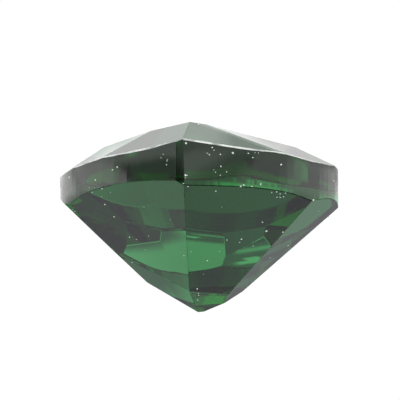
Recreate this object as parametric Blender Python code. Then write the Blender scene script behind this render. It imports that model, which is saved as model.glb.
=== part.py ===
"""A pear-shaped faceted garnet, lying on its table with its culet up.

The stone is made the way a lapidary cuts one. A rough is first ground to the girdle outline. Then each
facet is one flat cut, given by the direction it faces, its angle to the girdle, and how far out it lies.
The sharp tip of the pear points toward -Y, and right and left are those of someone who looks along +Y.
"""
import math
from collections import namedtuple

import bmesh
import bpy
from mathutils import Vector

# Driving dimensions, in millimetres and degrees
MILLIMETRE = 0.001
ROUGH_HEIGHT = 6.0
SIDES_PER_CURVE = 24

# The girdle outline, measured from the culet's axis
TIP = (0.42, -3.67)
WIDEST_RIGHT = (3.16, 0.49)
WIDEST_LEFT = (-3.16, -0.32)
ROUND_END = (-0.20, 3.02)
TIP_SIDE_ANGLE_RIGHT = 45.0
TIP_SIDE_ANGLE_LEFT = 28.5
TIP_PULL_RIGHT = 1.58
TIP_PULL_LEFT = 1.87
SIDE_PULL_RIGHT = 1.24
SIDE_PULL_LEFT = 1.47
ROUND_SIDE_PULL = 1.34
ROUND_END_PULL = 2.00
ROUND_END_TURN = 5.0

# The narrow upright facet ground across the sharp tip of the girdle
TIP_BEVEL_AZIMUTH = 18.0
TIP_BEVEL_LEAN = 1.2
TIP_BEVEL_REACH = 3.58

# A cut faces an azimuth measured from -Y toward +X, and makes an angle with the girdle.
# The reach of a crown cut is how far its edge on the table lies from the culet's axis.
# The reach of a pavilion cut is the height at which its plane crosses the culet's axis.
Cut = namedtuple("Cut", "name azimuth angle reach")

CROWN_CUTS = (
    Cut("tip right", 47.5, 37.0, 1.94),
    Cut("shoulder right", 58.5, 33.0, 1.81),
    Cut("tip left", -31.5, 38.0, 2.14),
    Cut("tip left upper", -37.0, 33.5, 2.00),
    Cut("shoulder left", -49.5, 28.5, 1.77),
    Cut("side right", 73.5, 35.5, 2.05),
    Cut("side left", -78.0, 30.5, 2.13),
    Cut("head right", 132.0, 35.5, 2.15),
    Cut("head left", -127.5, 35.0, 2.24),
    Cut("head", -172.0, 36.5, 2.12),
    Cut("star right", 146.5, 32.5, 1.82),
    Cut("star left", -146.5, 33.5, 2.02),
    Cut("star head", -179.0, 27.5, 1.97),
)

PAVILION_CUTS = (
    Cut("tip right main", 54.0, 47.0, 4.25),
    Cut("tip left main", -34.5, 40.0, 4.01),
    Cut("shoulder right", 77.0, 47.5, 4.64),
    Cut("shoulder left", -72.0, 40.0, 4.10),
    Cut("culet right", 74.5, 35.5, 3.84),
    Cut("culet left", -36.5, 26.0, 3.80),
    Cut("side right", 103.0, 45.0, 4.31),
    Cut("side left", -105.0, 43.0, 4.26),
    Cut("head right", 138.0, 41.0, 4.00),
    Cut("head left", -141.0, 40.0, 3.94),
    Cut("head", 170.0, 43.5, 4.00),
    Cut("culet side right", 114.0, 32.5, 3.86),
    Cut("culet side left", -112.5, 33.5, 4.00),
    Cut("culet head", 176.0, 31.5, 3.87),
)

# Looks, in linear colour
BODY_COLOUR = (0.18, 0.55, 0.26, 1.0)
BODY_ROUGHNESS = 0.03
REFRACTIVE_INDEX = 1.74


def facing(azimuth):
    """Return the level direction at an azimuth, as x and y."""
    return math.sin(math.radians(azimuth)), -math.cos(math.radians(azimuth))


def bezier(start, start_pull, end_pull, end, count):
    """Return count points along a cubic curve, with its start and without its end."""
    points = []
    for step in range(count):
        t = step / count
        weights = ((1 - t) ** 3, 3 * t * (1 - t) ** 2, 3 * t * t * (1 - t), t ** 3)
        corners = (start, start_pull, end_pull, end)
        points.append([sum(w * corner[axis] for w, corner in zip(weights, corners)) for axis in (0, 1)])
    return points


def girdle_outline():
    """Return the pear's outline, counter-clockwise from above, from its sharp tip."""
    right = math.radians(TIP_SIDE_ANGLE_RIGHT)
    left = math.radians(TIP_SIDE_ANGLE_LEFT)
    turn = math.radians(ROUND_END_TURN)
    along_end = (math.cos(turn) * ROUND_END_PULL, -math.sin(turn) * ROUND_END_PULL)
    count = SIDES_PER_CURVE
    outline = bezier(
        TIP,
        (TIP[0] + TIP_PULL_RIGHT * math.cos(right), TIP[1] + TIP_PULL_RIGHT * math.sin(right)),
        (WIDEST_RIGHT[0], WIDEST_RIGHT[1] - SIDE_PULL_RIGHT),
        WIDEST_RIGHT,
        count,
    )
    outline += bezier(
        WIDEST_RIGHT,
        (WIDEST_RIGHT[0], WIDEST_RIGHT[1] + ROUND_SIDE_PULL),
        (ROUND_END[0] + along_end[0], ROUND_END[1] + along_end[1]),
        ROUND_END,
        count,
    )
    outline += bezier(
        ROUND_END,
        (ROUND_END[0] - along_end[0], ROUND_END[1] - along_end[1]),
        (WIDEST_LEFT[0], WIDEST_LEFT[1] + ROUND_SIDE_PULL),
        WIDEST_LEFT,
        count,
    )
    outline += bezier(
        WIDEST_LEFT,
        (WIDEST_LEFT[0], WIDEST_LEFT[1] - SIDE_PULL_LEFT),
        (TIP[0] - TIP_PULL_LEFT * math.cos(left), TIP[1] + TIP_PULL_LEFT * math.sin(left)),
        TIP,
        count,
    )
    return outline


def rough_prism(outline):
    """Return an upright prism on the table's plane, with the outline as its section."""
    rough = bmesh.new()
    corners = [rough.verts.new((x, y, 0.0)) for x, y in outline]
    foot = rough.faces.new(corners)
    foot.normal_update()
    if foot.normal.z > 0.0:
        foot.normal_flip()
    raised = bmesh.ops.extrude_face_region(rough, geom=[foot], use_keep_orig=True)
    top = [item for item in raised["geom"] if isinstance(item, bmesh.types.BMVert)]
    bmesh.ops.translate(rough, verts=top, vec=(0.0, 0.0, ROUGH_HEIGHT))
    bmesh.ops.recalc_face_normals(rough, faces=rough.faces[:])
    return rough


def grind(stone, point, normal):
    """Cut away what lies outside one plane, and close the stone with one flat facet."""
    everything = stone.verts[:] + stone.edges[:] + stone.faces[:]
    result = bmesh.ops.bisect_plane(
        stone,
        geom=everything,
        dist=0.00001,
        plane_co=point,
        plane_no=normal,
        clear_outer=True,
    )
    rim = [item for item in result["geom_cut"] if isinstance(item, bmesh.types.BMEdge)]
    if rim:
        bmesh.ops.contextual_create(stone, geom=rim)


def cut_stone():
    """Return the finished stone in millimetres, measured from the culet's axis."""
    stone = rough_prism(girdle_outline())
    x, y = facing(TIP_BEVEL_AZIMUTH)
    lean = math.radians(TIP_BEVEL_LEAN)
    bevel = Vector((x * math.cos(lean), y * math.cos(lean), math.sin(lean)))
    grind(stone, Vector((x * TIP_BEVEL_REACH, y * TIP_BEVEL_REACH, 0.0)), bevel)
    for cut in CROWN_CUTS:
        x, y = facing(cut.azimuth)
        angle = math.radians(cut.angle)
        normal = Vector((x * math.sin(angle), y * math.sin(angle), -math.cos(angle)))
        grind(stone, Vector((x * cut.reach, y * cut.reach, 0.0)), normal)
    for cut in PAVILION_CUTS:
        x, y = facing(cut.azimuth)
        angle = math.radians(cut.angle)
        normal = Vector((x * math.sin(angle), y * math.sin(angle), math.cos(angle)))
        grind(stone, Vector((0.0, 0.0, cut.reach)), normal)
    bmesh.ops.remove_doubles(stone, verts=stone.verts[:], dist=0.002)
    bmesh.ops.recalc_face_normals(stone, faces=stone.faces[:])
    return stone


def stand_on_origin(stone):
    """Bring the middle of the stone's box to the origin, at the table, and turn millimetres to metres."""
    low = [min(v.co[axis] for v in stone.verts) for axis in range(3)]
    high = [max(v.co[axis] for v in stone.verts) for axis in range(3)]
    middle = Vector(((low[0] + high[0]) / 2, (low[1] + high[1]) / 2, low[2]))
    for vertex in stone.verts:
        vertex.co = (vertex.co - middle) * MILLIMETRE


def garnet_material():
    """Return the clear green material of the stone."""
    material = bpy.data.materials.new("tsavorite")
    material.use_nodes = True
    shader = material.node_tree.nodes["Principled BSDF"]
    shader.inputs["Base Color"].default_value = BODY_COLOUR
    shader.inputs["Roughness"].default_value = BODY_ROUGHNESS
    shader.inputs["Metallic"].default_value = 0.0
    shader.inputs["IOR"].default_value = REFRACTIVE_INDEX
    shader.inputs["Transmission Weight"].default_value = 1.0
    return material


def main():
    """Make the stone."""
    for item in list(bpy.data.objects):
        bpy.data.objects.remove(item, do_unlink=True)
    stone = cut_stone()
    stand_on_origin(stone)
    mesh = bpy.data.meshes.new("cut_stone")
    stone.to_mesh(mesh)
    stone.free()
    mesh.materials.append(garnet_material())
    body = bpy.data.objects.new("cut_stone", mesh)
    bpy.context.scene.collection.objects.link(body)


if __name__ == "__main__":
    main()
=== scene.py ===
"""The looks of a loose, pear-shaped faceted garnet that lies on its table on a plain pale floor.

Lengths are metres in the row's frame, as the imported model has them. Fields whose names end in _mm are
millimetres, because the stone is only some six millimetres across. An azimuth is measured from -Y, where
the stone's sharp tip is, toward +X, and an elevation from the floor up.
"""
import logging
import math
from dataclasses import dataclass, field
from enum import Enum
from typing import Sequence

import bmesh
import bpy
import numpy as np
from mathutils import Matrix, Vector
from mathutils.bvhtree import BVHTree

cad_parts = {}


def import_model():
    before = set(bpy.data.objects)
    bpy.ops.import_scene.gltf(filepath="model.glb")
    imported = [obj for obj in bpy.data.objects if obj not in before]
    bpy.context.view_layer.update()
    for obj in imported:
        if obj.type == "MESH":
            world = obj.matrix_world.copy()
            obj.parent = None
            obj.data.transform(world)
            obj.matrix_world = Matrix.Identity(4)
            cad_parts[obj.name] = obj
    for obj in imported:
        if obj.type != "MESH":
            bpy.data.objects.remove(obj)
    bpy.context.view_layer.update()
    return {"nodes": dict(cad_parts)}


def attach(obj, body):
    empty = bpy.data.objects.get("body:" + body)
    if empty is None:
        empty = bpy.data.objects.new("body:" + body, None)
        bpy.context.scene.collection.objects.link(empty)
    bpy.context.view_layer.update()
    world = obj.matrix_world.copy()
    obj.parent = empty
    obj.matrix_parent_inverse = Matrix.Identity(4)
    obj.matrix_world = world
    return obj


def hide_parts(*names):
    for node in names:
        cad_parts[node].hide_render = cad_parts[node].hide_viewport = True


LOG = logging.getLogger("garnet")
STONE_NODE = "cut_stone"
BODY = "root"

Colour = tuple[float, float, float]
Range = tuple[float, float]

MILLIMETRE = 0.001
PICTURE_WIDTH_PX = 400
CAMERA_ELEVATION_DEG = 11.9
SEEN_WHITE = 1.02
WHITE: Colour = (1.0, 1.0, 1.0)
GARNET_INDEX = 1.74


def smooth_step(low: float, high: float, value: np.ndarray) -> np.ndarray:
    """Return 0 below low, 1 above high, and the smooth curve 3t^2 - 2t^3 between them."""
    t = np.clip((value - low) / (high - low), 0.0, 1.0)
    return t * t * (3.0 - 2.0 * t)


def smooth_band(span: Range, soft: float, value: np.ndarray) -> np.ndarray:
    """Return 1 inside a span and 0 outside it, with a smooth step at each end.

    Args:
        span: The two values at which a step is half done.
        soft: The width of each step.
        value: The values at which the band is worked out.

    Returns:
        The rising step times what the second step leaves, for each value.
    """
    low, high = span
    rise = smooth_step(low - soft / 2.0, low + soft / 2.0, value)
    return rise * (1.0 - smooth_step(high - soft / 2.0, high + soft / 2.0, value))


def link_object(name: str, mesh: bpy.types.Mesh) -> bpy.types.Object:
    """Put a mesh in the scene as an object that sits at the origin.

    Args:
        name: The piece's name.
        mesh: The mesh, in the row's frame.

    Returns:
        The new object.
    """
    piece = bpy.data.objects.new(name, mesh)
    bpy.context.scene.collection.objects.link(piece)
    return piece


def mesh_of_grid(name: str, points: np.ndarray, hub: np.ndarray) -> bpy.types.Mesh:
    """Make a mesh of rings of points, closed round and filled in at the first ring.

    Args:
        name: The mesh's name.
        points: The points, by ring and by place on the ring.
        hub: The point that closes the first ring.

    Returns:
        The mesh, whose last vertex is the hub.
    """
    rings, spokes = points.shape[:2]
    row, place = np.meshgrid(np.arange(rings - 1), np.arange(spokes), indexing="ij")
    here = row * spokes + place
    beside = row * spokes + (place + 1) % spokes
    quads = np.stack([here, here + spokes, beside + spokes, beside], axis=-1).reshape(-1, 4)
    first = np.arange(spokes)
    fan = np.stack([first, (first + 1) % spokes, np.full(spokes, rings * spokes)], axis=-1)
    mesh = bpy.data.meshes.new(name)
    everything = np.vstack([points.reshape(-1, 3), hub[None, :]])
    mesh.from_pydata(everything.tolist(), [], quads.tolist() + fan.tolist())
    mesh.update()
    return mesh


def store_glow(mesh: bpy.types.Mesh, glow: np.ndarray) -> None:
    """Keep a brightness for each vertex in the mesh."""
    layer = mesh.attributes.new("glow", "FLOAT", "POINT")
    layer.data.foreach_set("value", glow.astype(np.float32))


def add_node(tree: bpy.types.NodeTree, kind: str, **settings: object) -> bpy.types.Node:
    """Add a shader node and set its plain properties.

    Args:
        tree: The node tree that gets the node.
        kind: The node's type name.
        **settings: Properties of the node and their values.

    Returns:
        The new node.
    """
    node = tree.nodes.new(kind)
    for name, value in settings.items():
        setattr(node, name, value)
    return node


def shaded_material(name: str) -> tuple[bpy.types.Material, bpy.types.Node]:
    """Make a material with a Principled shader.

    Args:
        name: The material's name.

    Returns:
        The material and its shader.
    """
    material = bpy.data.materials.new(name)
    material.use_nodes = True
    return material, material.node_tree.nodes["Principled BSDF"]


def glowing_material(name: str, seen_white: float, tint: Colour) -> bpy.types.Material:
    """Make a material that glows as its mesh's glow says, and looks plain white to the camera.

    Args:
        name: The material's name.
        seen_white: The brightness that the camera sees.
        tint: The colour of the light.

    Returns:
        The material.
    """
    material = bpy.data.materials.new(name)
    material.use_nodes = True
    material.cycles.emission_sampling = "NONE"
    tree = material.node_tree
    tree.nodes.clear()
    output = add_node(tree, "ShaderNodeOutputMaterial")
    glow = add_node(tree, "ShaderNodeAttribute", attribute_name="glow")
    path = add_node(tree, "ShaderNodeLightPath")
    strength = add_node(tree, "ShaderNodeMix", data_type="FLOAT")
    tree.links.new(path.outputs["Is Camera Ray"], strength.inputs["Factor"])
    tree.links.new(glow.outputs["Fac"], strength.inputs["A"])
    strength.inputs["B"].default_value = seen_white
    light = add_node(tree, "ShaderNodeEmission")
    light.inputs["Color"].default_value = (*tint, 1.0)
    tree.links.new(strength.outputs["Result"], light.inputs["Strength"])
    tree.links.new(light.outputs[0], output.inputs["Surface"])
    return material


@dataclass
class PhotoCamera:
    """The photograph's view: from beside the girdle, and turned over, so that the culet is below.

    The stone lay on its table and the picture was turned by half a turn, so the camera is rolled by it.
    """

    elevation_deg: float = CAMERA_ELEVATION_DEG
    frame_width_mm: float = 9.096
    lens_mm: float = 1100.0
    sensor_mm: float = 36.0
    clip_m: Range = (0.01, 2.0)
    culet_axis_mm: tuple[float, float] = (0.0, 0.30)
    aim_right_mm: float = -0.023
    aim_up_mm: float = 1.217

    def aim(self) -> Vector:
        """Find what the camera looks at.

        Returns:
            The point at the middle of the picture, in metres.
        """
        lean = math.radians(self.elevation_deg)
        x, y = self.culet_axis_mm
        up = Vector((0.0, math.sin(lean), math.cos(lean))) * self.aim_up_mm
        return Vector((x + self.aim_right_mm, y + up.y, up.z)) * MILLIMETRE

    def axes(self) -> tuple[Vector, Vector, Vector]:
        """Find how the rolled camera lies.

        Returns:
            The picture's right, its up, and the way back to the camera.
        """
        lean = math.radians(self.elevation_deg)
        right = Vector((-1.0, 0.0, 0.0))
        up = Vector((0.0, -math.sin(lean), -math.cos(lean)))
        back = Vector((0.0, -math.cos(lean), math.sin(lean)))
        return right, up, back

    def place(self) -> Vector:
        """Return where the camera stands."""
        distance = self.frame_width_mm * MILLIMETRE * self.lens_mm / self.sensor_mm
        return self.aim() + self.axes()[2] * distance

    def ray_through(self, across_px: float, down_px: float) -> tuple[Vector, Vector]:
        """Find the line of sight through a point of the picture.

        Args:
            across_px: Pixels from the picture's left side.
            down_px: Pixels from the picture's top.

        Returns:
            The camera's place and the direction of sight.
        """
        right, up, back = self.axes()
        step = self.sensor_mm / self.lens_mm / PICTURE_WIDTH_PX
        middle = (PICTURE_WIDTH_PX - 1) / 2.0
        sight = right * (across_px - middle) * step - up * (down_px - middle) * step - back
        return self.place(), sight.normalized()

    def build(self) -> bpy.types.Object:
        """Create the camera and make it the scene's own.

        Returns:
            The camera.
        """
        data = bpy.data.cameras.new("photo_camera")
        data.lens = self.lens_mm
        data.sensor_width = self.sensor_mm
        data.clip_start, data.clip_end = self.clip_m
        camera = bpy.data.objects.new("photo_camera", data)
        bpy.context.scene.collection.objects.link(camera)
        stand = Matrix(self.axes()).transposed().to_4x4()
        stand.translation = self.place()
        camera.matrix_world = stand
        bpy.context.scene.camera = camera
        return camera


@dataclass(frozen=True)
class FloorCard:
    """A card with soft edges on the floor: a span of azimuths and of distances, and its brightness."""

    azimuths_deg: Range
    distances_mm: Range
    brightness: float
    soft_deg: float = 5.0
    soft_mm: float = 1.2

    def share(self, x: np.ndarray, y: np.ndarray) -> np.ndarray:
        """Return how much of the card shows at points given in millimetres."""
        around = smooth_band(self.azimuths_deg, self.soft_deg, np.degrees(np.arctan2(x, -y)))
        return around * smooth_band(self.distances_mm, self.soft_mm, np.hypot(x, y))


@dataclass
class LightPad:
    """The plain floor, which looks white to the camera.

    Toward the stone it glows unevenly, with a shade and with cards. They stand for the bright and dark
    things around the stone, and lie where its facets mirror them or show them through the stone.
    """

    radius_mm: float = 120.0
    gap_mm: float = 0.02
    rings: int = 240
    spokes: int = 360
    seen_white: float = SEEN_WHITE
    pad: float = 0.73
    near: float = 0.56
    near_fades_mm: Range = (2.6, 4.4)
    front: float = 0.40
    front_begins_mm: Range = (3.0, 7.0)
    under: float = 0.555
    under_fades_mm: Range = (1.5, 2.1)
    under_begins_mm: Range = (-1.5, 0.5)
    shade: float = 0.195
    shade_middle_mm: tuple[float, float] = (0.9, 4.53)
    shade_reach_mm: tuple[float, float] = (2.7, 4.4)
    shade_edge: Range = (0.8, 1.2)
    cards: tuple[FloorCard, ...] = (
        # In front, on both sides of the tip
        FloorCard((27.0, 46.0), (4.7, 26.0), 0.04),
        FloorCard((60.0, 82.0), (6.0, 14.0), 0.25),
        FloorCard((-62.0, -49.0), (6.0, 16.0), 0.74),
        FloorCard((-49.0, -39.5), (6.0, 16.0), 0.46),
        FloorCard((-39.5, -31.0), (6.0, 16.0), 0.84),
        # Right behind, seen through the stone as a streak, a thin wing and a dark zone
        FloorCard((166.2, 168.4), (6.9, 7.4), 0.90, soft_deg=1.0, soft_mm=0.1),
        FloorCard((168.4, 171.5), (6.45, 7.4), 0.90, soft_deg=1.0, soft_mm=0.2),
        FloorCard((168.0, 179.0), (5.0, 5.6), 0.66, soft_deg=3.0, soft_mm=0.3),
        FloorCard((158.0, 180.0), (3.3, 4.3), 0.05, soft_deg=5.0, soft_mm=0.4),
        # Close in, mirrored by the crown
        FloorCard((-120.0, -66.0), (1.9, 4.4), 0.84, soft_deg=14.0, soft_mm=0.6),
        FloorCard((-52.0, -21.0), (1.8, 3.4), 0.97, soft_deg=10.0, soft_mm=0.6),
        FloorCard((-14.0, 6.0), (1.8, 3.4), 1.50, soft_deg=8.0, soft_mm=0.6),
        # Beside the two ends of the girdle
        FloorCard((110.0, 134.0), (4.0, 8.4), 1.50, soft_deg=8.0),
        FloorCard((84.0, 108.0), (5.2, 8.4), 1.15, soft_deg=10.0),
        FloorCard((-116.0, -90.0), (6.0, 9.8), 1.30, soft_deg=10.0),
        FloorCard((-90.0, -66.0), (6.0, 9.8), 1.15, soft_deg=10.0),
        # Behind, on both sides
        FloorCard((126.0, 150.0), (6.2, 14.0), 1.30, soft_deg=10.0),
        FloorCard((-140.0, -112.0), (6.6, 15.0), 1.10, soft_deg=10.0),
    )

    def glow(self, x: np.ndarray, y: np.ndarray) -> np.ndarray:
        """Work out the floor's brightness.

        The floor is brighter near the stone and has another brightness in front. The shade is an ellipse
        with a soft edge, given as shares of its reach. The floor under the stone has its own brightness,
        except toward the tip. Then each card covers what lies below it, by its share.

        Args:
            x: Millimetres toward +X.
            y: Millimetres toward +Y.

        Returns:
            The brightness of each point.
        """
        far = np.hypot(x, y)
        across = (x - self.shade_middle_mm[0]) / self.shade_reach_mm[0]
        along = (y - self.shade_middle_mm[1]) / self.shade_reach_mm[1]
        shade = 1.0 - smooth_step(*self.shade_edge, np.hypot(across, along))
        front = smooth_step(*self.front_begins_mm, -y)
        near = 1.0 - smooth_step(*self.near_fades_mm, far)
        under = (1.0 - smooth_step(*self.under_fades_mm, far)) * smooth_step(*self.under_begins_mm, y)
        open_floor = self.pad * (1.0 - front) + self.near * near + self.front * front
        shaded = open_floor * (1.0 - shade) + self.shade * shade
        light = shaded * (1.0 - under) + self.under * under
        for card in self.cards:
            share = card.share(x, y)
            light = light * (1.0 - share) + card.brightness * share
        return light

    def build(self) -> bpy.types.Object:
        """Create the floor: rings whose radii grow with the square of the ring's number.

        Returns:
            The floor.
        """
        ring = (np.arange(1, self.rings + 1) / self.rings) ** 2 * self.radius_mm
        angle = np.linspace(0.0, 2.0 * np.pi, self.spokes, endpoint=False)
        x = ring[:, None] * np.cos(angle)
        y = ring[:, None] * np.sin(angle)
        level = np.full_like(x, -self.gap_mm)
        points = np.stack([x, y, level], axis=-1)
        hub = np.array([0.0, 0.0, -self.gap_mm])
        mesh = mesh_of_grid("floor", points * MILLIMETRE, hub * MILLIMETRE)
        store_glow(mesh, self.glow(np.append(x.ravel(), 0.0), np.append(y.ravel(), 0.0)))
        floor = link_object("floor", mesh)
        mesh.materials.append(glowing_material("pale_floor", self.seen_white, WHITE))
        return floor


@dataclass(frozen=True)
class SoftPanel:
    """A soft panel of light in the tent: a span of azimuths and of elevations with wide soft edges."""

    azimuths_deg: Range
    elevations_deg: Range
    brightness: float
    soft_azimuth_deg: float = 24.0
    soft_elevation_deg: float = 16.0

    def share(self, azimuth: np.ndarray, elevation: np.ndarray) -> np.ndarray:
        """Work out how much of the panel shows in each direction.

        Azimuths are first turned into the full turn that begins 90 degrees before the panel.

        Args:
            azimuth: Azimuths in degrees.
            elevation: Elevations in degrees.

        Returns:
            The share, from 0 to 1.
        """
        turned = (azimuth - self.azimuths_deg[0] + 90.0) % 360.0 + self.azimuths_deg[0] - 90.0
        around = smooth_band(self.azimuths_deg, self.soft_azimuth_deg, turned)
        return around * smooth_band(self.elevations_deg, self.soft_elevation_deg, elevation)


@dataclass
class LightTent:
    """Plain soft studio light: a dim grey tent with soft panels on both sides, in front and behind."""

    radius_mm: float = 200.0
    elevations_deg: Range = (-4.0, 89.0)
    rings: int = 60
    spokes: int = 144
    tint: Colour = (0.98, 0.99, 1.04)
    room: float = 0.053
    zenith: float = 0.075
    zenith_begins_deg: Range = (48.0, 66.0)
    gap_behind: float = 0.172
    gap_azimuths_deg: Range = (140.0, 205.0)
    gap_soft_deg: float = 24.0
    gap_fades_deg: Range = (22.0, 36.0)
    camera_shade: float = 0.01
    camera_elevation_deg: float = CAMERA_ELEVATION_DEG
    camera_fades_deg: Range = (6.0, 12.0)
    panels: tuple[SoftPanel, ...] = (
        # Large ones on the +X side, on the -X side toward the back, and in front
        SoftPanel((62.0, 140.0), (-20.0, 46.0), 0.452),
        SoftPanel((195.0, 258.0), (8.0, 60.0), 0.531, soft_elevation_deg=14.0),
        SoftPanel((-40.0, 66.0), (-20.0, 38.0), 0.90, soft_azimuth_deg=30.0),
        # Small ones, of which the second is above the camera and the others are behind
        SoftPanel((116.0, 140.0), (26.0, 42.0), 0.10, soft_azimuth_deg=12.0, soft_elevation_deg=8.0),
        SoftPanel((-1.0, 16.0), (21.0, 31.0), 0.90, soft_azimuth_deg=6.0, soft_elevation_deg=4.0),
        SoftPanel((152.0, 165.0), (12.0, 24.0), 0.17, soft_azimuth_deg=8.0, soft_elevation_deg=6.0),
    )

    def glow(self, azimuth: np.ndarray, elevation: np.ndarray) -> np.ndarray:
        """Work out the tent's brightness.

        The room's grey gives way to the zenith's high up, and to that of the gap low behind the stone.
        Each panel adds its own light. The camera hides all of it round the direction that it stands in.

        Args:
            azimuth: Azimuths in degrees.
            elevation: Elevations in degrees.

        Returns:
            The brightness in each direction.
        """
        zenith = smooth_step(*self.zenith_begins_deg, elevation)
        gap = smooth_band(self.gap_azimuths_deg, self.gap_soft_deg, azimuth % 360.0)
        gap = gap * (1.0 - smooth_step(*self.gap_fades_deg, elevation)) * (1.0 - zenith)
        light = self.room * (1.0 - zenith) * (1.0 - gap) + self.zenith * zenith + self.gap_behind * gap
        for panel in self.panels:
            light = light + panel.brightness * panel.share(azimuth, elevation)
        lean = math.radians(self.camera_elevation_deg)
        level = np.cos(np.radians(elevation)) * np.cos(np.radians(azimuth))
        nearness = level * math.cos(lean) + np.sin(np.radians(elevation)) * math.sin(lean)
        apart = np.degrees(np.arccos(np.clip(nearness, -1.0, 1.0)))
        camera = 1.0 - smooth_step(*self.camera_fades_deg, apart)
        return light * (1.0 - camera) + self.camera_shade * camera

    def build(self) -> bpy.types.Object:
        """Create the tent, a dome that the camera doesn't see.

        Returns:
            The tent.
        """
        lowest, highest = self.elevations_deg
        elevation = np.linspace(highest, lowest, self.rings)
        azimuth = np.linspace(0.0, 360.0, self.spokes, endpoint=False)
        up, around = np.meshgrid(elevation, azimuth, indexing="ij")
        level = np.cos(np.radians(up))
        x = np.sin(np.radians(around)) * level
        y = -np.cos(np.radians(around)) * level
        points = np.stack([x, y, np.sin(np.radians(up))], axis=-1) * self.radius_mm * MILLIMETRE
        hub = np.array([0.0, 0.0, self.radius_mm * MILLIMETRE])
        mesh = mesh_of_grid("light_tent", points, hub)
        store_glow(mesh, self.glow(np.append(around.ravel(), 0.0), np.append(up.ravel(), 90.0)))
        mesh.materials.append(glowing_material("tent_cloth", 1.0, self.tint))
        tent = link_object("light_tent", mesh)
        tent.visible_camera = False
        return tent


@dataclass
class FillLight:
    """A lamp in front that lights the dust, the painted glints and the painted edge highlight, and that the
    polished stone doesn't mirror.
    """

    azimuth_deg: float = -12.0
    elevation_deg: float = 24.0
    distance_mm: float = 150.0
    width_mm: float = 60.0
    energy: float = 0.12

    def build(self) -> bpy.types.Object:
        """Create the area light.

        Returns:
            The lamp.
        """
        data = bpy.data.lights.new("fill_light", "AREA")
        data.shape = "SQUARE"
        data.size = self.width_mm * MILLIMETRE
        data.energy = self.energy
        lamp = bpy.data.objects.new("fill_light", data)
        bpy.context.scene.collection.objects.link(lamp)
        azimuth = math.radians(self.azimuth_deg)
        elevation = math.radians(self.elevation_deg)
        level = math.cos(elevation)
        toward = Vector((math.sin(azimuth) * level, -math.cos(azimuth) * level, math.sin(elevation)))
        lamp.location = toward * self.distance_mm * MILLIMETRE
        lamp.rotation_euler = (-toward).to_track_quat("-Z", "Y").to_euler()
        lamp.visible_camera = False
        lamp.visible_glossy = False
        lamp.visible_transmission = False
        return lamp


@dataclass
class Studio:
    """The floor, the lights, and how the renderer follows light through the stone."""

    pad: LightPad = field(default_factory=LightPad)
    tent: LightTent = field(default_factory=LightTent)
    fill: FillLight = field(default_factory=FillLight)
    seen_white: float = SEEN_WHITE
    inner_bounces: int = 24

    def build_world(self) -> None:
        """Make the room beyond the tent plain white, as the camera sees it past the floor's edge."""
        world = bpy.data.worlds.new("room")
        world.use_nodes = True
        bpy.context.scene.world = world
        background = world.node_tree.nodes["Background"]
        background.inputs["Color"].default_value = (*WHITE, 1.0)
        background.inputs["Strength"].default_value = self.seen_white

    def build(self) -> None:
        """Create the floor and the lights, and let light turn back in the stone as often as it needs."""
        self.build_world()
        self.pad.build()
        self.tent.build()
        self.fill.build()
        scene = bpy.context.scene
        scene.cycles.max_bounces = self.inner_bounces
        scene.cycles.glossy_bounces = self.inner_bounces
        scene.cycles.transmission_bounces = self.inner_bounces
        scene.view_settings.view_transform = "Standard"
        LOG.info("studio: floor, light tent and fill light")


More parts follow.
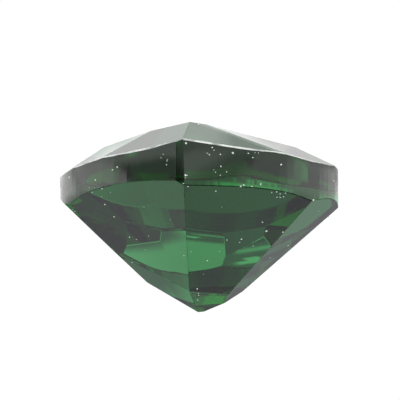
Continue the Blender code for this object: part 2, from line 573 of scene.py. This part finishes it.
class PolishMarks:
    """The shared effect of a hand-polished surface, as a node group.

    Broad smears and a fine grain change the roughness, and the grain gives a height for a bump.
    """

    NAME = "polish_marks"
    SMEAR_SCALE = 900.0
    SMEAR_DETAIL = 3.0
    SMEAR_SPAN: Range = (0.48, 0.72)
    GRAIN_SCALE = 14000.0
    GRAIN_DETAIL = 2.0
    GRAIN_STRETCH = (1.0, 1.0, 0.3)
    BUMP_MM = 0.01

    @classmethod
    def group(cls) -> bpy.types.NodeTree:
        """Find the node group, or build it the first time.

        Returns:
            A group with the inputs Vector, Polish, Smear and Grain, and the outputs Roughness and Height.
        """
        made = bpy.data.node_groups.get(cls.NAME)
        if made is not None:
            return made
        tree = bpy.data.node_groups.new(cls.NAME, "ShaderNodeTree")
        tree.interface.new_socket(name="Vector", in_out="INPUT", socket_type="NodeSocketVector")
        for name in ("Polish", "Smear", "Grain"):
            tree.interface.new_socket(name=name, in_out="INPUT", socket_type="NodeSocketFloat")
        for name in ("Roughness", "Height"):
            tree.interface.new_socket(name=name, in_out="OUTPUT", socket_type="NodeSocketFloat")
        source = add_node(tree, "NodeGroupInput")
        result = add_node(tree, "NodeGroupOutput")
        smear = add_node(tree, "ShaderNodeTexNoise")
        smear.inputs["Scale"].default_value = cls.SMEAR_SCALE
        smear.inputs["Detail"].default_value = cls.SMEAR_DETAIL
        grain = add_node(tree, "ShaderNodeTexNoise")
        grain.inputs["Scale"].default_value = cls.GRAIN_SCALE
        grain.inputs["Detail"].default_value = cls.GRAIN_DETAIL
        stretch = add_node(tree, "ShaderNodeMapping")
        stretch.inputs["Scale"].default_value = cls.GRAIN_STRETCH
        tree.links.new(source.outputs["Vector"], smear.inputs["Vector"])
        tree.links.new(source.outputs["Vector"], stretch.inputs["Vector"])
        tree.links.new(stretch.outputs["Vector"], grain.inputs["Vector"])
        film = add_node(tree, "ShaderNodeMapRange", interpolation_type="SMOOTHSTEP")
        film.inputs["From Min"].default_value, film.inputs["From Max"].default_value = cls.SMEAR_SPAN
        tree.links.new(smear.outputs["Fac"], film.inputs["Value"])
        smeared = add_node(tree, "ShaderNodeMath", operation="MULTIPLY_ADD")
        tree.links.new(film.outputs["Result"], smeared.inputs[0])
        tree.links.new(source.outputs["Smear"], smeared.inputs[1])
        tree.links.new(source.outputs["Polish"], smeared.inputs[2])
        grained = add_node(tree, "ShaderNodeMath", operation="MULTIPLY_ADD")
        tree.links.new(grain.outputs["Fac"], grained.inputs[0])
        tree.links.new(source.outputs["Grain"], grained.inputs[1])
        tree.links.new(smeared.outputs[0], grained.inputs[2])
        tree.links.new(grained.outputs[0], result.inputs["Roughness"])
        height = add_node(tree, "ShaderNodeMath", operation="MULTIPLY")
        tree.links.new(grain.outputs["Fac"], height.inputs[0])
        tree.links.new(source.outputs["Grain"], height.inputs[1])
        tree.links.new(height.outputs[0], result.inputs["Height"])
        return tree

    @classmethod
    def dress(
        cls,
        tree: bpy.types.NodeTree,
        polish: float,
        smear: float,
        grain: bpy.types.NodeSocket,
    ) -> None:
        """Wire the marks into a material's Principled shader.

        Args:
            tree: The material's node tree.
            polish: The roughness of a clean place.
            smear: The roughness that a smear adds.
            grain: The output that says how much grain each place has.
        """
        shader = tree.nodes["Principled BSDF"]
        coords = add_node(tree, "ShaderNodeTexCoord")
        marks = add_node(tree, "ShaderNodeGroup", node_tree=cls.group())
        marks.inputs["Polish"].default_value = polish
        marks.inputs["Smear"].default_value = smear
        tree.links.new(grain, marks.inputs["Grain"])
        tree.links.new(coords.outputs["Object"], marks.inputs["Vector"])
        tree.links.new(marks.outputs["Roughness"], shader.inputs["Roughness"])
        bump = add_node(tree, "ShaderNodeBump")
        bump.inputs["Distance"].default_value = cls.BUMP_MM * MILLIMETRE
        bump.inputs["Strength"].default_value = 1.0
        tree.links.new(marks.outputs["Height"], bump.inputs["Height"])
        tree.links.new(bump.outputs["Normal"], shader.inputs["Normal"])


@dataclass(frozen=True)
class GarnetFinish:
    """Polished clear green crystal, coloured by what it absorbs on the light's way through it."""

    absorbed_per_mm: Colour = (0.63, 0.220, 0.485)
    refractive_index: float = GARNET_INDEX
    polish: float = 0.004
    smear: float = 0.02
    facet_grain: float = 0.006
    girdle_grain: float = 0.06
    girdle_fades: Range = (0.10, 0.25)

    def grain_amount(self, tree: bpy.types.NodeTree) -> bpy.types.NodeSocket:
        """Wire up how much grain each place has: more where the surface stands upright, on the girdle.

        Args:
            tree: The material's node tree.

        Returns:
            The output with the amount.
        """
        geometry = add_node(tree, "ShaderNodeNewGeometry")
        split = add_node(tree, "ShaderNodeSeparateXYZ")
        tree.links.new(geometry.outputs["True Normal"], split.inputs[0])
        upward = add_node(tree, "ShaderNodeMath", operation="ABSOLUTE")
        tree.links.new(split.outputs["Z"], upward.inputs[0])
        amount = add_node(tree, "ShaderNodeMapRange")
        amount.inputs["From Min"].default_value, amount.inputs["From Max"].default_value = self.girdle_fades
        amount.inputs["To Min"].default_value = self.girdle_grain
        amount.inputs["To Max"].default_value = self.facet_grain
        tree.links.new(upward.outputs[0], amount.inputs["Value"])
        return amount.outputs["Result"]

    def material(self) -> bpy.types.Material:
        """Make the crystal's material.

        Returns:
            The material.
        """
        material, shader = shaded_material("polished_garnet")
        tree = material.node_tree
        shader.inputs["Base Color"].default_value = (*WHITE, 1.0)
        shader.inputs["Transmission Weight"].default_value = 1.0
        shader.inputs["IOR"].default_value = self.refractive_index
        PolishMarks.dress(tree, self.polish, self.smear, self.grain_amount(tree))
        inside = add_node(tree, "ShaderNodeVolumeAbsorption")
        inside.inputs["Color"].default_value = (*(1.0 - share for share in self.absorbed_per_mm), 1.0)
        inside.inputs["Density"].default_value = 1.0 / MILLIMETRE
        tree.links.new(inside.outputs[0], tree.nodes["Material Output"].inputs["Volume"])
        return material


@dataclass(frozen=True)
class EdgeHighlightFinish:
    """The line along the girdle's lower edge: a painted highlight of the bright edge, broken up like
    frosted wear into white bruises with clear gaps.
    """

    # Painted highlight: the white that stands for the bright edge
    highlight_white: Colour = (0.90, 0.92, 0.90)
    clear: Colour = (0.30, 0.36, 0.32)
    refractive_index: float = GARNET_INDEX
    transmission: float = 0.25
    polish: float = 0.30
    smear: float = 0.15
    grain: float = 0.10
    break_scale: float = 2200.0
    break_detail: float = 4.0
    break_span: Range = (0.36, 0.50)

    def material(self) -> bpy.types.Material:
        """Make the frosted line's material.

        Returns:
            The material.
        """
        material, shader = shaded_material("painted_edge_highlight")
        tree = material.node_tree
        shader.inputs["Transmission Weight"].default_value = self.transmission
        shader.inputs["IOR"].default_value = self.refractive_index
        coords = add_node(tree, "ShaderNodeTexCoord")
        breaks = add_node(tree, "ShaderNodeTexNoise")
        breaks.inputs["Scale"].default_value = self.break_scale
        breaks.inputs["Detail"].default_value = self.break_detail
        tree.links.new(coords.outputs["Object"], breaks.inputs["Vector"])
        ramp = add_node(tree, "ShaderNodeValToRGB")
        first, last = ramp.color_ramp.elements
        first.position, last.position = self.break_span
        first.color = (*self.clear, 1.0)
        last.color = (*self.highlight_white, 1.0)
        tree.links.new(breaks.outputs["Fac"], ramp.inputs["Fac"])
        tree.links.new(ramp.outputs["Color"], shader.inputs["Base Color"])
        even = add_node(tree, "ShaderNodeValue")
        even.outputs[0].default_value = self.grain
        PolishMarks.dress(tree, self.polish, self.smear, even.outputs[0])
        return material


@dataclass(frozen=True)
class DustAndGlintFinish:
    """Pale matt dust, a little uneven in its grey, which also colours the white lumps painted as glints on
    the keel.
    """

    light: Colour = (0.93, 0.94, 0.92)
    dark: Colour = (0.60, 0.62, 0.58)
    roughness: float = 0.9
    cloud_scale: float = 9000.0
    cloud_span: Range = (0.30, 0.55)

    def material(self) -> bpy.types.Material:
        """Make the dust's material.

        Returns:
            The material.
        """
        material, shader = shaded_material("dust")
        tree = material.node_tree
        shader.inputs["Roughness"].default_value = self.roughness
        coords = add_node(tree, "ShaderNodeTexCoord")
        cloud = add_node(tree, "ShaderNodeTexNoise")
        cloud.inputs["Scale"].default_value = self.cloud_scale
        tree.links.new(coords.outputs["Object"], cloud.inputs["Vector"])
        ramp = add_node(tree, "ShaderNodeValToRGB")
        first, last = ramp.color_ramp.elements
        first.position, last.position = self.cloud_span
        first.color = (*self.dark, 1.0)
        last.color = (*self.light, 1.0)
        tree.links.new(cloud.outputs["Fac"], ramp.inputs["Fac"])
        tree.links.new(ramp.outputs["Color"], shader.inputs["Base Color"])
        return material


# The upward part of a face's normal, below which the face is the table, the crown or the girdle
TABLE_LIMIT = -0.99
CROWN_LIMIT = -0.3
GIRDLE_LIMIT = 0.3


class Zone(Enum):
    """The zones of a cut stone, told apart by which way a face looks."""

    TABLE = "table"
    CROWN = "crown"
    GIRDLE = "girdle"
    PAVILION = "pavilion"

    @classmethod
    def of(cls, upward: float) -> "Zone":
        """Tell which zone a face belongs to. The stone lies on its table, so its crown looks down.

        Args:
            upward: The upward part of the face's normal.

        Returns:
            The zone.
        """
        if upward < TABLE_LIMIT:
            return cls.TABLE
        if upward < CROWN_LIMIT:
            return cls.CROWN
        if upward < GIRDLE_LIMIT:
            return cls.GIRDLE
        return cls.PAVILION


@dataclass(frozen=True)
class Grind:
    """A plane that takes the sharpness off an edge: a point on it, its outward side, and if its flat gets
    the painted edge highlight.
    """

    point: Vector
    outward: Vector
    edge_highlight: bool


@dataclass
class CutStone:
    """The stone itself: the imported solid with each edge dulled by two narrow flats.

    The stone is convex, so a flat is made by cutting the whole stone with a plane that lies just under
    the edge. The depth says how far under, and between crown and girdle it wanders along the edge.
    """

    finish: GarnetFinish = field(default_factory=GarnetFinish)
    edge_highlight: EdgeHighlightFinish = field(default_factory=EdgeHighlightFinish)
    # The flats between crown and girdle carry the painted edge highlight
    highlight_depth_mm: float = 0.0068
    highlight_wander: float = 0.45
    wander_waves: tuple[tuple[float, float, float], ...] = ((5.3, 0.0, 1.0), (-2.7, 8.1, 0.0))
    girdle_depth_mm: float = 0.003
    junction_depth_mm: float = 0.0012
    level_turn_deg: float = 3.0
    smooth_turn_deg: float = 12.0
    flat_shares: tuple[float, ...] = (1.0 / 3.0, 2.0 / 3.0)
    same_facet_deg: float = 1.2
    join_mm: float = 0.001
    on_plane_mm: float = 0.00002
    merge_mm: float = 0.0002

    @staticmethod
    def zones(edge: bmesh.types.BMEdge) -> set[Zone]:
        """Return the zones that meet at an edge."""
        return {Zone.of(face.normal.z) for face in edge.link_faces}

    def depth(self, edge: bmesh.types.BMEdge) -> float:
        """Work out how deep an edge is dulled: not at all between the girdle's own narrow sides.

        Between crown and girdle the depth is changed by a share of the mean of two sines. Each sine is of
        a weighted sum of the x and y of the edge's middle, plus a shift.

        Args:
            edge: The edge, in millimetres.

        Returns:
            The depth in millimetres.
        """
        pair = self.zones(edge)
        turn = edge.calc_face_angle()
        if turn < math.radians(self.level_turn_deg):
            return 0.0
        if pair == {Zone.CROWN, Zone.GIRDLE}:
            middle = (edge.verts[0].co + edge.verts[1].co) / 2.0
            waves = [math.sin(a * middle.x + b * middle.y + shift) for a, b, shift in self.wander_waves]
            return self.highlight_depth_mm * (1.0 + self.highlight_wander * sum(waves) / len(waves))
        if pair == {Zone.GIRDLE, Zone.PAVILION}:
            return self.girdle_depth_mm
        if pair == {Zone.GIRDLE} and turn < math.radians(self.smooth_turn_deg):
            return 0.0
        return self.junction_depth_mm

    def grinds(self, shape: bmesh.types.BMesh) -> list[Grind]:
        """Find the planes that dull the edges, two for each edge.

        Args:
            shape: The stone in millimetres, with each facet as one face.

        Returns:
            The planes. Those between crown and girdle get the second material, the painted edge highlight.
        """
        planes = []
        for edge in shape.edges:
            depth = self.depth(edge)
            if depth == 0.0:
                continue
            first, second = edge.link_faces
            # The flats between crown and girdle get the painted edge highlight
            edge_highlight = self.zones(edge) == {Zone.CROWN, Zone.GIRDLE}
            for share in self.flat_shares:
                outward = first.normal.lerp(second.normal, share).normalized()
                planes.append(Grind(edge.verts[0].co - outward * depth, outward, edge_highlight))
        return planes

    def whole_facets(self, source: bpy.types.Mesh) -> bmesh.types.BMesh:
        """Copy the solid, join up its triangles, and make each facet one face.

        Args:
            source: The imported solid's mesh, in metres.

        Returns:
            The copy, in millimetres.
        """
        shape = bmesh.new()
        shape.from_mesh(source)
        bmesh.ops.scale(shape, verts=shape.verts[:], vec=(1.0 / MILLIMETRE,) * 3)
        bmesh.ops.remove_doubles(shape, verts=shape.verts[:], dist=self.join_mm)
        bmesh.ops.dissolve_limit(
            shape,
            angle_limit=math.radians(self.same_facet_deg),
            verts=shape.verts[:],
            edges=shape.edges[:],
        )
        shape.normal_update()
        for face in shape.faces:
            face.material_index = 0
        return shape

    def dull_edges(self, shape: bmesh.types.BMesh) -> None:
        """Cut the stone by each plane in turn, and close it with one narrow flat.

        Args:
            shape: The stone in millimetres, which is changed.
        """
        for grind in self.grinds(shape):
            result = bmesh.ops.bisect_plane(
                shape,
                geom=shape.verts[:] + shape.edges[:] + shape.faces[:],
                dist=self.on_plane_mm,
                plane_co=grind.point,
                plane_no=grind.outward,
                clear_outer=True,
            )
            rim = [item for item in result["geom_cut"] if isinstance(item, bmesh.types.BMEdge)]
            if rim:
                closed = bmesh.ops.contextual_create(shape, geom=rim)
                for face in closed["faces"]:
                    face.material_index = int(grind.edge_highlight)
        bmesh.ops.remove_doubles(shape, verts=shape.verts[:], dist=self.merge_mm)
        bmesh.ops.recalc_face_normals(shape, faces=shape.faces[:])

    def build(self, source: bpy.types.Object) -> bpy.types.Object:
        """Make the stone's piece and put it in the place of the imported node.

        Args:
            source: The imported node.

        Returns:
            The stone's piece.
        """
        shape = self.whole_facets(source.data)
        self.dull_edges(shape)
        bmesh.ops.scale(shape, verts=shape.verts[:], vec=(MILLIMETRE,) * 3)
        mesh = bpy.data.meshes.new("faceted_stone")
        shape.to_mesh(mesh)
        shape.free()
        mesh.shade_flat()
        mesh.materials.append(self.finish.material())
        mesh.materials.append(self.edge_highlight.material())
        stone = link_object("faceted_stone", mesh)
        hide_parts(STONE_NODE)
        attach(stone, BODY)
        LOG.info("faceted_stone: %d faces", len(stone.data.polygons))
        return stone


@dataclass(frozen=True)
class DustPatch:
    """A patch of dust, or of white lumps painted as glints, placed by the pixels of the photograph that it
    lies on.
    """

    across_px: Range
    down_px: Range
    count: int
    size_mm: Range = (0.008, 0.015)


@dataclass
class DustAndGlintSpecks:
    """The loose white specks on the stone, and white painted glints on its keel, all as small uneven lumps
    that sit on its surface.
    """

    camera: PhotoCamera
    finish: DustAndGlintFinish = field(default_factory=DustAndGlintFinish)
    seed: int = 7
    spokes: int = 7
    ring_lean_deg: float = 48.0
    upright_limit: float = 0.8
    sink: float = 0.25
    flatness: float = 0.6
    bump_share: float = 0.25
    bump_spread: float = 2.2
    bump_shift: Range = (0.0, 6.28)
    drawn_out: Range = (1.0, 1.5)
    patches: tuple[DustPatch, ...] = (
        DustPatch((184.0, 186.0), (141.0, 143.0), 1, (0.022, 0.024)),
        DustPatch((184.5, 186.0), (174.5, 176.0), 1, (0.024, 0.026)),
        DustPatch((183.0, 191.0), (170.0, 186.0), 5),
        DustPatch((206.0, 221.0), (147.0, 158.0), 6, (0.010, 0.018)),
        DustPatch((231.0, 238.0), (152.0, 154.0), 1, (0.022, 0.024)),
        DustPatch((240.0, 264.0), (152.0, 158.0), 5),
        DustPatch((209.0, 237.0), (165.0, 175.0), 5),
        DustPatch((156.0, 168.0), (152.0, 165.0), 6, (0.009, 0.016)),
        DustPatch((112.0, 121.0), (165.0, 170.0), 2, (0.015, 0.019)),
        DustPatch((88.0, 120.0), (184.0, 192.0), 3),
        DustPatch((270.0, 300.0), (162.0, 166.0), 2, (0.014, 0.017)),
        DustPatch((240.0, 262.0), (183.0, 187.0), 5, (0.009, 0.019)),
        DustPatch((264.0, 300.0), (189.0, 197.0), 8, (0.009, 0.015)),
        DustPatch((312.0, 314.0), (198.0, 200.0), 1, (0.022, 0.024)),
        DustPatch((211.0, 217.0), (188.0, 192.0), 1),
        DustPatch((128.0, 152.0), (234.0, 246.0), 3, (0.010, 0.014)),
        DustPatch((264.0, 268.0), (228.0, 232.0), 1, (0.018, 0.021)),
        # Painted glints: white lumps on the keel near the culet stand for its bright glints
        DustPatch((196.5, 198.5), (280.0, 300.0), 4, (0.013, 0.018)),
        DustPatch((196.5, 198.0), (122.5, 124.5), 1, (0.018, 0.021)),
        DustPatch((140.0, 260.0), (205.0, 280.0), 7, (0.007, 0.011)),
        DustPatch((68.0, 70.0), (177.0, 179.0), 1, (0.020, 0.024)),
    )
    hidden_count: int = 70
    hidden_azimuths_deg: Range = (70.0, 290.0)
    hidden_leans_deg: Range = (0.0, 40.0)
    hidden_aim_mm: tuple[Range, Range, Range] = ((-2.4, 2.4), (-2.0, 2.4), (0.7, 2.6))
    hidden_distance_mm: float = 20.0
    hidden_size_mm: Range = (0.009, 0.018)

    def sights(self, chance: np.random.Generator) -> list[tuple[Vector, Vector, float]]:
        """Find the lines along which specks are dropped on the stone, with each speck's size.

        Args:
            chance: The seeded source of chance.

        Returns:
            Starting points in metres, directions, and sizes in millimetres.
        """
        lines = []
        for patch in self.patches:
            for _ in range(patch.count):
                start, sight = self.camera.ray_through(
                    chance.uniform(*patch.across_px),
                    chance.uniform(*patch.down_px),
                )
                lines.append((start, sight, chance.uniform(*patch.size_mm)))
        for _ in range(self.hidden_count):
            azimuth = math.radians(chance.uniform(*self.hidden_azimuths_deg))
            lean = math.radians(chance.uniform(*self.hidden_leans_deg))
            level = math.cos(lean)
            away = Vector((math.sin(azimuth) * level, -math.cos(azimuth) * level, math.sin(lean)))
            aim = Vector([chance.uniform(*span) for span in self.hidden_aim_mm])
            start = aim * MILLIMETRE + away * self.hidden_distance_mm * MILLIMETRE
            lines.append((start, -away, chance.uniform(*self.hidden_size_mm)))
        return lines

    def landing_places(self, stone: bpy.types.Object) -> tuple[np.ndarray, np.ndarray, np.ndarray]:
        """Drop the specks on the stone.

        Args:
            stone: The stone's piece.

        Returns:
            The places, the surface's normals there, and the specks' sizes in metres.
        """
        chance = np.random.default_rng(self.seed)
        surface = BVHTree.FromObject(stone, bpy.context.evaluated_depsgraph_get())
        found = []
        for start, sight, size in self.sights(chance):
            place, normal, _, _ = surface.ray_cast(start, sight)
            if place is not None:
                found.append((*place, *normal, size * MILLIMETRE))
        table = np.array(found)
        return table[:, 0:3], table[:, 3:6], table[:, 6]

    def lump_directions(self) -> np.ndarray:
        """Work out where a lump's points lie: on three rings, and then at the foot and at the top.

        Returns:
            The unit direction of each point.
        """
        lean = np.radians([-self.ring_lean_deg, 0.0, self.ring_lean_deg])[:, None]
        around = np.linspace(0.0, 2.0 * np.pi, self.spokes, endpoint=False)[None, :]
        x = np.cos(lean) * np.cos(around)
        y = np.cos(lean) * np.sin(around)
        z = np.sin(lean) * np.ones_like(around)
        rings = np.stack([x, y, z], axis=-1).reshape(-1, 3)
        return np.vstack([rings, [[0.0, 0.0, -1.0], [0.0, 0.0, 1.0]]])

    def lump_faces(self) -> tuple[np.ndarray, np.ndarray]:
        """Work out how a lump's points are joined up.

        Returns:
            The four-sided and the three-sided faces, as numbers of its points.
        """
        place = np.arange(self.spokes)
        beside = (place + 1) % self.spokes
        band = np.stack([place, beside, self.spokes + beside, self.spokes + place], axis=-1)
        foot = np.full(self.spokes, 3 * self.spokes)
        top = foot + 1
        last = 2 * self.spokes
        under = np.stack([beside, place, foot], axis=-1)
        over = np.stack([last + place, last + beside, top], axis=-1)
        return np.vstack([band, band + self.spokes]), np.vstack([under, over])

    def along_surface(self, normals: np.ndarray) -> tuple[np.ndarray, np.ndarray]:
        """Find two directions along the surface, at right angles to each other.

        The first is the cross product of +Z with the normal, or of +X with it where the normal is nearly
        upright, and the second is the cross product of the normal with the first.

        Args:
            normals: The surface's normals.

        Returns:
            The two unit directions for each normal.
        """
        upright = np.abs(normals[:, 2:3]) >= self.upright_limit
        helper = np.where(upright, [[1.0, 0.0, 0.0]], [[0.0, 0.0, 1.0]])
        side = np.cross(helper, normals)
        side /= np.linalg.norm(side, axis=1, keepdims=True)
        return side, np.cross(normals, side)

    def lump_points(self, places: np.ndarray, normals: np.ndarray, sizes: np.ndarray) -> np.ndarray:
        """Work out the points of all the lumps.

        A lump is a ball whose radius varies by a share of a sine of its direction, pressed flat along the
        surface's normal, drawn out to one side, and sunk a little into the surface.

        Args:
            places: The places on the surface.
            normals: The surface's normals there.
            sizes: The lumps' radii.

        Returns:
            The points, by lump and by place on the lump.
        """
        chance = np.random.default_rng(self.seed + 1)
        count = len(places)
        directions = self.lump_directions()
        side, other = self.along_surface(normals)
        waves = chance.normal(0.0, self.bump_spread, (count, 3)) @ directions.T
        waves = waves + chance.uniform(*self.bump_shift, (count, 1))
        radius = (1.0 + self.bump_share * np.sin(waves)) * sizes[:, None]
        drawn = chance.uniform(*self.drawn_out, (count, 1))
        lift = sizes * self.flatness * (1 - self.sink)
        points = places[:, None, :] + normals[:, None, :] * lift[:, None, None]
        points = points + side[:, None, :] * (radius * drawn * directions[:, 0])[..., None]
        points = points + other[:, None, :] * (radius * directions[:, 1])[..., None]
        return points + normals[:, None, :] * (radius * self.flatness * directions[:, 2])[..., None]

    def build(self, stone: bpy.types.Object) -> bpy.types.Object:
        """Make all the specks as one piece.

        Args:
            stone: The stone's piece.

        Returns:
            The specks' piece.
        """
        points = self.lump_points(*self.landing_places(stone))
        count, corners = points.shape[:2]
        quads, triangles = self.lump_faces()
        shift = (np.arange(count) * corners)[:, None, None]
        faces = (quads + shift).reshape(-1, 4).tolist() + (triangles + shift).reshape(-1, 3).tolist()
        mesh = bpy.data.meshes.new("dust_and_glint_specks")
        mesh.from_pydata(points.reshape(-1, 3).tolist(), [], faces)
        mesh.shade_smooth()
        mesh.materials.append(self.finish.material())
        dust = link_object("dust_and_glint_specks", mesh)
        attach(dust, BODY)
        LOG.info("dust_and_glint_specks: %d specks", count)
        return dust


def main() -> None:
    """Load the frame and dress the part in order."""
    logging.basicConfig(level=logging.INFO)
    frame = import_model()
    camera = PhotoCamera()
    camera.build()
    Studio().build()
    stone = CutStone().build(frame["nodes"][STONE_NODE])
    DustAndGlintSpecks(camera).build(stone)


if __name__ == "__main__":
    main()
